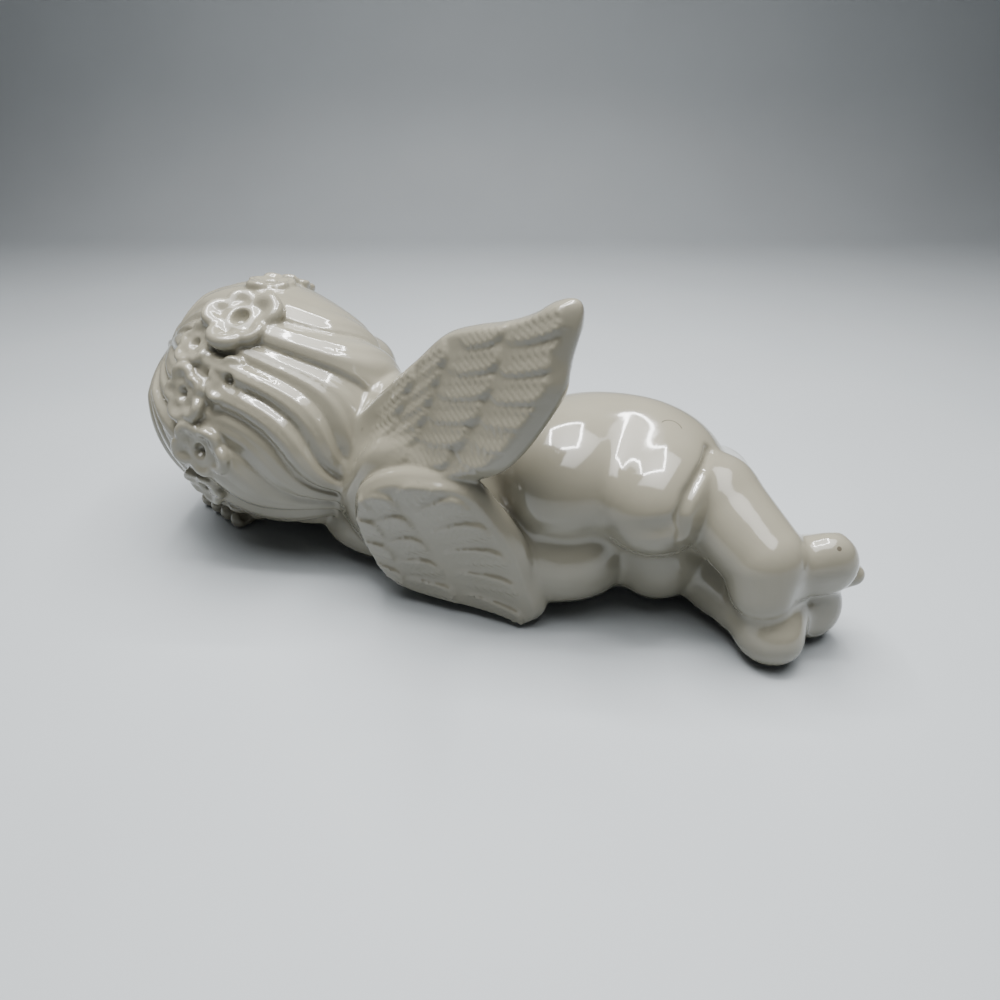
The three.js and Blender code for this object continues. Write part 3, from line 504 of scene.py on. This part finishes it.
def knee_crease():
    """The crease where the right calf lies against the seat."""
    groove(GROUND, [(69, 8, 63), (68, -6, 60), (67, -13, 57), (66.5, -17, 52), (68, -17, 46)], 1.8, 2.2)


def shape_figure():
    trunk()
    folds()
    legs()
    knee_crease()
    waist_dip()
    foot(RIGHT_FOOT, 1)
    foot(LEFT_FOOT, -1)
    arms()
    hands()
    head()
    face()
    wreath()
    wing_plate(RIGHT_WING)
    wing_plate(LEFT_WING)


def soften(values, radius):
    """Blur the field, as glaze rounds what it covers."""
    sigma = radius / SAMPLE_STEP
    reach = int(math.ceil(2.5 * sigma))
    kernel = np.exp(-0.5 * (np.arange(-reach, reach + 1) / sigma) ** 2).astype(np.float32)
    kernel /= kernel.sum()
    for axis in range(3):
        padded = np.pad(values, [(reach, reach) if a == axis else (0, 0) for a in range(3)], mode="edge")
        total = np.zeros_like(values)
        for n, weight in enumerate(kernel):
            total += weight * padded[tuple(slice(n, n + values.shape[axis]) if a == axis else slice(None)
                                           for a in range(3))]
        values = total
    return values


def sample(values, points):
    """The field at any point, from the eight samples round it."""
    q = np.clip((points - LOW) / SAMPLE_STEP, 0, np.array(COUNT) - 1.001)
    base = q.astype(int)
    t = (q - base).astype(np.float32)
    result = np.zeros(len(points), np.float32)
    for corner in range(8):
        step = [(corner >> a) & 1 for a in range(3)]
        weight = np.ones(len(points), np.float32)
        for a in range(3):
            weight *= t[:, a] if step[a] else 1 - t[:, a]
        result += weight * values[base[:, 0] + step[0], base[:, 1] + step[1], base[:, 2] + step[2]]
    return result


def slope(values, points):
    """The field's gradient at each point, pointing out of the skin."""
    gap = 0.8 * SAMPLE_STEP
    return np.stack([sample(values, points + gap * np.eye(3)[a]) - sample(values, points - gap * np.eye(3)[a])
                     for a in range(3)], 1) / (2 * gap)


def settle(values, points, rounds=3):
    """Move points onto the skin."""
    for _ in range(rounds):
        g = slope(values, points)
        points = points - g * (sample(values, points) / np.maximum((g * g).sum(1), 0.05))[:, None]
    return points


def skin(values):
    """A net of quads over the field's surface: a point in each cell that it crosses."""
    inside = values < 0
    total = np.zeros([n - 1 for n in COUNT], np.int8)
    cells = [slice(None, -1), slice(1, None)]
    for corner in range(8):
        total += inside[tuple(cells[(corner >> a) & 1] for a in range(3))]
    crossed = (total > 0) & (total < 8)
    where = np.argwhere(crossed)
    number = np.full(crossed.shape, -1, np.int32)
    number[crossed] = np.arange(len(where))
    value = [values[where[:, 0] + (c & 1), where[:, 1] + ((c >> 1) & 1), where[:, 2] + ((c >> 2) & 1)]
             for c in range(8)]
    place = np.zeros((len(where), 3))
    hits = np.zeros(len(where))
    for a in range(8):
        for axis in range(3):
            b = a | (1 << axis)
            if b == a:
                continue
            cross = (value[a] < 0) != (value[b] < 0)
            t = value[a][cross] / (value[a][cross] - value[b][cross])
            spot = np.array([(a >> n) & 1 for n in range(3)], float)
            step = np.eye(3)[axis]
            place[cross] += spot + t[:, None] * step
            hits[cross] += 1
    points = LOW + (where + place / hits[:, None]) * SAMPLE_STEP
    quads = []
    for axis in range(3):
        u, v = (axis + 1) % 3, (axis + 2) % 3
        ahead = [slice(None)] * 3
        behind = [slice(None)] * 3
        ahead[axis], behind[axis] = slice(1, None), slice(None, -1)
        change = inside[tuple(behind)] != inside[tuple(ahead)]
        edges = np.argwhere(change)
        edges = edges[(edges[:, u] > 0) & (edges[:, v] > 0)]
        edges = edges[(edges[:, u] < COUNT[u] - 1) & (edges[:, v] < COUNT[v] - 1)]
        ring = []
        for du, dv in ((1, 1), (0, 1), (0, 0), (1, 0)):
            cell = edges.copy()
            cell[:, u] -= du
            cell[:, v] -= dv
            ring.append(number[cell[:, 0], cell[:, 1], cell[:, 2]])
        ring = np.stack(ring, 1)
        flip = ~inside[edges[:, 0], edges[:, 1], edges[:, 2]]
        ring[flip] = ring[flip][:, ::-1]
        quads.append(ring)
    return points, np.concatenate(quads)


def net_mesh(name, points, quads):
    mesh = bpy.data.meshes.new(name)
    mesh.vertices.add(len(points))
    mesh.vertices.foreach_set("co", points.astype(np.float32).ravel())
    mesh.loops.add(quads.size)
    mesh.loops.foreach_set("vertex_index", quads.astype(np.int32).ravel())
    mesh.polygons.add(len(quads))
    mesh.polygons.foreach_set("loop_start", np.arange(0, quads.size, 4, dtype=np.int32))
    mesh.polygons.foreach_set("loop_total", np.full(len(quads), 4, np.int32))
    mesh.update(calc_edges=True)
    return mesh


def corners_of(mesh):
    spots = np.empty(len(mesh.vertices) * 3, np.float32)
    mesh.vertices.foreach_get("co", spots)
    return spots.reshape(-1, 3).astype(float)


def make_figure():
    """The skin of the field, thinned, settled again, cut flat on the ground and put in metres."""
    shape_figure()
    values = soften(field, GLAZE_SOFTENING)
    points, quads = skin(values)
    points = settle(values, points)
    points[:, 2] = np.maximum(points[:, 2], 0)
    piece = bpy.data.objects.new("cherub_figure", net_mesh("cherub_figure", points, quads))
    bpy.context.scene.collection.objects.link(piece)
    thin = piece.modifiers.new("thin", "DECIMATE")
    thin.ratio = SKIN_TRIANGLES / (2 * len(quads))
    made = bpy.data.meshes.new_from_object(piece.evaluated_get(bpy.context.evaluated_depsgraph_get()))
    piece.modifiers.clear()
    piece.data = made
    spots = settle(values, corners_of(made), 2)
    spots[:, 2] = np.maximum(spots[:, 2], 0)
    low, high = (np.array(corner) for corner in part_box("cherub"))
    size = (high - low)[0] / np.ptp(spots[:, 0])
    middle = (spots.max(0) + spots.min(0)) / 2
    box_middle = (low + high) / 2
    origin = np.array((box_middle[0], box_middle[1], low[2])) - np.array((middle[0], middle[1], 0)) * size
    made.vertices.foreach_set("co", (origin + spots * size).astype(np.float32).ravel())
    made.polygons.foreach_set("use_smooth", np.ones(len(made.polygons), bool))
    made.update()
    return piece, origin, size


def new_material(name):
    material = bpy.data.materials.new(name)
    material.use_nodes = True
    tree = material.node_tree
    tree.nodes.clear()
    output = tree.nodes.new("ShaderNodeOutputMaterial")
    shader = tree.nodes.new("ShaderNodeBsdfPrincipled")
    tree.links.new(shader.outputs["BSDF"], output.inputs["Surface"])
    return material, tree, shader


def node(tree, kind, settings=None, **inputs):
    made = tree.nodes.new(kind)
    for name, value in (settings or {}).items():
        setattr(made, name, value)
    for name, value in inputs.items():
        socket = made.inputs[int(name[1:])] if name[0] == "i" and name[1:].isdigit() else made.inputs[name]
        if hasattr(value, "links"):
            tree.links.new(value, socket)
        else:
            socket.default_value = value
    return made


# A curved hair fired into the glaze on the hip: the ring it lies on, and the ball that bounds it.
HAIR_RING = ((57, 5.8, 71), 3.75, 0.17)
HAIR_BALL = ((56.5, 10, 71), 0, 4.4)
# Dark specks in the glaze, on the hip and on the right foot.
SPECKS = [((59.1, 8, 70.2), 0, 0.4), ((112.4, 0.1, 42.2), 0, 0.8)]
MARK_SHARE = 0.75
MARK_COLOUR = (0.05, 0.04, 0.03, 1)
GLAZE_POOLED = (0.2, 0.187, 0.143, 1)
GLAZE_THIN = (0.24, 0.226, 0.176, 1)
BOARD_COLOURS = ((0.335, 0.355, 0.37, 1), (0.375, 0.40, 0.415, 1))


def glaze_material(origin, size):
    """A cream-white glaze over a white body: a touch greener and darker in broad patches laid by a noise."""
    material, tree, shader = new_material("glaze")
    where = node(tree, "ShaderNodeTexCoord").outputs["Object"]
    drift = node(tree, "ShaderNodeTexNoise", Vector=where, Scale=18.0, Detail=3.0)
    speck = node(tree, "ShaderNodeTexNoise", Vector=where, Scale=900.0, Detail=2.0)
    tint = node(tree, "ShaderNodeValToRGB", i0=drift.outputs["Fac"])
    tint.color_ramp.elements[0].position = 0.35
    tint.color_ramp.elements[0].color = GLAZE_POOLED
    tint.color_ramp.elements[1].position = 0.65
    tint.color_ramp.elements[1].color = GLAZE_THIN

    def near(spot, reach, width):
        """One within the width of a ball's skin of that reach, and nought elsewhere."""
        far = node(tree, "ShaderNodeVectorMath", {"operation": "DISTANCE"}, i0=where,
                   i1=Vector(origin + size * np.array(spot)))
        return node(tree, "ShaderNodeMath", {"operation": "COMPARE"}, i0=far.outputs["Value"],
                    i1=reach * size, i2=width * size).outputs[0]
    marks = node(tree, "ShaderNodeMath", {"operation": "MULTIPLY"}, i0=near(*HAIR_RING), i1=near(*HAIR_BALL))
    for dot in SPECKS:
        marks = node(tree, "ShaderNodeMath", {"operation": "MAXIMUM"}, i0=marks.outputs[0], i1=near(*dot))
    share = node(tree, "ShaderNodeMath", {"operation": "MULTIPLY"}, i0=marks.outputs[0], i1=MARK_SHARE)
    marked = node(tree, "ShaderNodeMix", {"data_type": "RGBA"}, i0=share.outputs[0], i6=tint.outputs["Color"],
                  i7=MARK_COLOUR)
    tree.links.new(marked.outputs[2], shader.inputs["Base Color"])
    ripple = node(tree, "ShaderNodeTexNoise", Vector=where, Scale=70.0, Detail=2.0)
    bump = node(tree, "ShaderNodeBump", Height=ripple.outputs["Fac"], Strength=0.06, Distance=0.001)
    tree.links.new(bump.outputs["Normal"], shader.inputs["Normal"])
    rough = node(tree, "ShaderNodeMapRange", Value=speck.outputs["Fac"])
    rough.inputs["To Min"].default_value = 0.07
    rough.inputs["To Max"].default_value = 0.14
    tree.links.new(rough.outputs["Result"], shader.inputs["Roughness"])
    shader.inputs["IOR"].default_value = 1.52
    shader.inputs["Coat Weight"].default_value = 0.35
    shader.inputs["Coat Roughness"].default_value = 0.03
    return material


def board_material():
    material, tree, shader = new_material("sweep_board")
    where = node(tree, "ShaderNodeTexCoord").outputs["Object"]
    grain = node(tree, "ShaderNodeTexNoise", Vector=where, Scale=9.0, Detail=4.0)
    tint = node(tree, "ShaderNodeValToRGB", i0=grain.outputs["Fac"])
    for element, colour in zip(tint.color_ramp.elements, BOARD_COLOURS):
        element.color = colour
    tree.links.new(tint.outputs["Color"], shader.inputs["Base Color"])
    shader.inputs["Roughness"].default_value = 0.6
    return material


# The camera: the point that it looks at and its distance in millimetres of the figure.
VIEW_POINT = (0, 0, 33)
VIEW_AZIMUTH = math.radians(24)
VIEW_ELEVATION = math.radians(30)
VIEW_DISTANCE = 272
VIEW_LENS = 27.07
TOWARDS_CAMERA = Vector((math.sin(VIEW_AZIMUTH), -math.cos(VIEW_AZIMUTH), 0))
# The board, in metres: how far behind the figure it turns up, its curve, its front edge, the place in
# front of the figure where its flat is parted, its height and half its width.
SWEEP_BEHIND = 0.64
SWEEP_CURVE = 0.16
BOARD_FRONT = 1.6
BOARD_PART = 0.5
BOARD_HEIGHT = 1.6
BOARD_HALF = 2.0


def make_camera(aim, size):
    camera = bpy.data.objects.new("camera", bpy.data.cameras.new("camera"))
    bpy.context.scene.collection.objects.link(camera)
    camera.data.lens = VIEW_LENS
    camera.data.sensor_width = 36
    camera.data.clip_start = 0.01
    out = TOWARDS_CAMERA * math.cos(VIEW_ELEVATION) + Vector((0, 0, math.sin(VIEW_ELEVATION)))
    camera.location = aim + out * VIEW_DISTANCE * size
    camera.rotation_euler = (-out).to_track_quat("-Z", "Y").to_euler()
    bpy.context.scene.camera = camera


def make_stage(aim):
    """A pale board that lies flat under the figure and curves up behind it."""
    profile = [(BOARD_FRONT, 0.0), (BOARD_PART, 0.0)]
    for step in range(13):
        a = math.pi / 2 * step / 12
        profile.append((-SWEEP_BEHIND - SWEEP_CURVE * math.sin(a), SWEEP_CURVE * (1 - math.cos(a))))
    profile.append((-SWEEP_BEHIND - SWEEP_CURVE, BOARD_HEIGHT))
    side = Vector((math.cos(VIEW_AZIMUTH), math.sin(VIEW_AZIMUTH), 0))
    middle = Vector((aim.x, aim.y, 0))
    shell = bmesh.new()
    rows = []
    for out, height in profile:
        centre = middle + TOWARDS_CAMERA * out + Vector((0, 0, height))
        rows.append([shell.verts.new(centre + side * across) for across in (-BOARD_HALF, BOARD_HALF)])
    for a, b in zip(rows[:-1], rows[1:]):
        face = shell.faces.new((a[0], a[1], b[1], b[0]))
        face.smooth = True
    shell.normal_update()
    mesh = bpy.data.meshes.new("floor")
    shell.to_mesh(mesh)
    floor = bpy.data.objects.new("floor", mesh)
    floor.data.materials.append(board_material())
    bpy.context.scene.collection.objects.link(floor)


def area_light(name, place, width, depth, watts):
    """A flat lamp that shines straight down."""
    lamp = bpy.data.lights.new(name, "AREA")
    lamp.shape = "RECTANGLE"
    lamp.size, lamp.size_y = width, depth
    lamp.energy = watts
    holder = bpy.data.objects.new(name, lamp)
    holder.location = place
    bpy.context.scene.collection.objects.link(holder)
    return holder


# The lamps, in metres and watts. The square frame hangs behind the figure, turned round a little.
LAMP_HEIGHT = 0.46
LAMP_BEHIND = 0.08
LAMP_TURN = math.radians(20)
LAMP_SIDE = 0.27
LAMP_STRIP = 0.016
LAMP_WATTS = 1.15
CEILING_HEIGHT = 0.9
CEILING_FRONT = 0.02
CEILING_SIZE = (1.0, 0.9)
CEILING_SPREAD = math.radians(100)
CEILING_WATTS = 8
ROOM_COLOUR = (0.93, 0.96, 1.0, 1)
ROOM_LIGHT = 0.11


def make_lights(aim):
    """A square frame of lamps overhead, a broad soft one above it, and a pale room."""
    centre = Vector((aim.x, aim.y, LAMP_HEIGHT)) - TOWARDS_CAMERA * LAMP_BEHIND
    for strip in range(4):
        a = LAMP_TURN + math.pi / 2 * strip
        out = Vector((math.cos(a), math.sin(a), 0))
        lamp = area_light(f"strip_{strip}", centre + out * LAMP_SIDE / 2, LAMP_SIDE, LAMP_STRIP, LAMP_WATTS)
        lamp.rotation_euler = (0, 0, a + math.pi / 2)
    above = Vector((aim.x, aim.y, CEILING_HEIGHT)) + TOWARDS_CAMERA * CEILING_FRONT
    ceiling = area_light("ceiling", above, *CEILING_SIZE, CEILING_WATTS)
    ceiling.data.spread = CEILING_SPREAD
    world = bpy.data.worlds.new("room")
    world.use_nodes = True
    world.node_tree.nodes["Background"].inputs["Color"].default_value = ROOM_COLOUR
    world.node_tree.nodes["Background"].inputs["Strength"].default_value = ROOM_LIGHT
    bpy.context.scene.world = world


figure, figure_origin, figure_scale = make_figure()
view_aim = Vector(figure_origin + figure_scale * np.array(VIEW_POINT))
figure.data.materials.clear()
figure.data.materials.append(glaze_material(figure_origin, figure_scale))
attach(figure, "root")
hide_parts("cherub")
make_stage(view_aim)
make_camera(view_aim, figure_scale)
make_lights(view_aim)
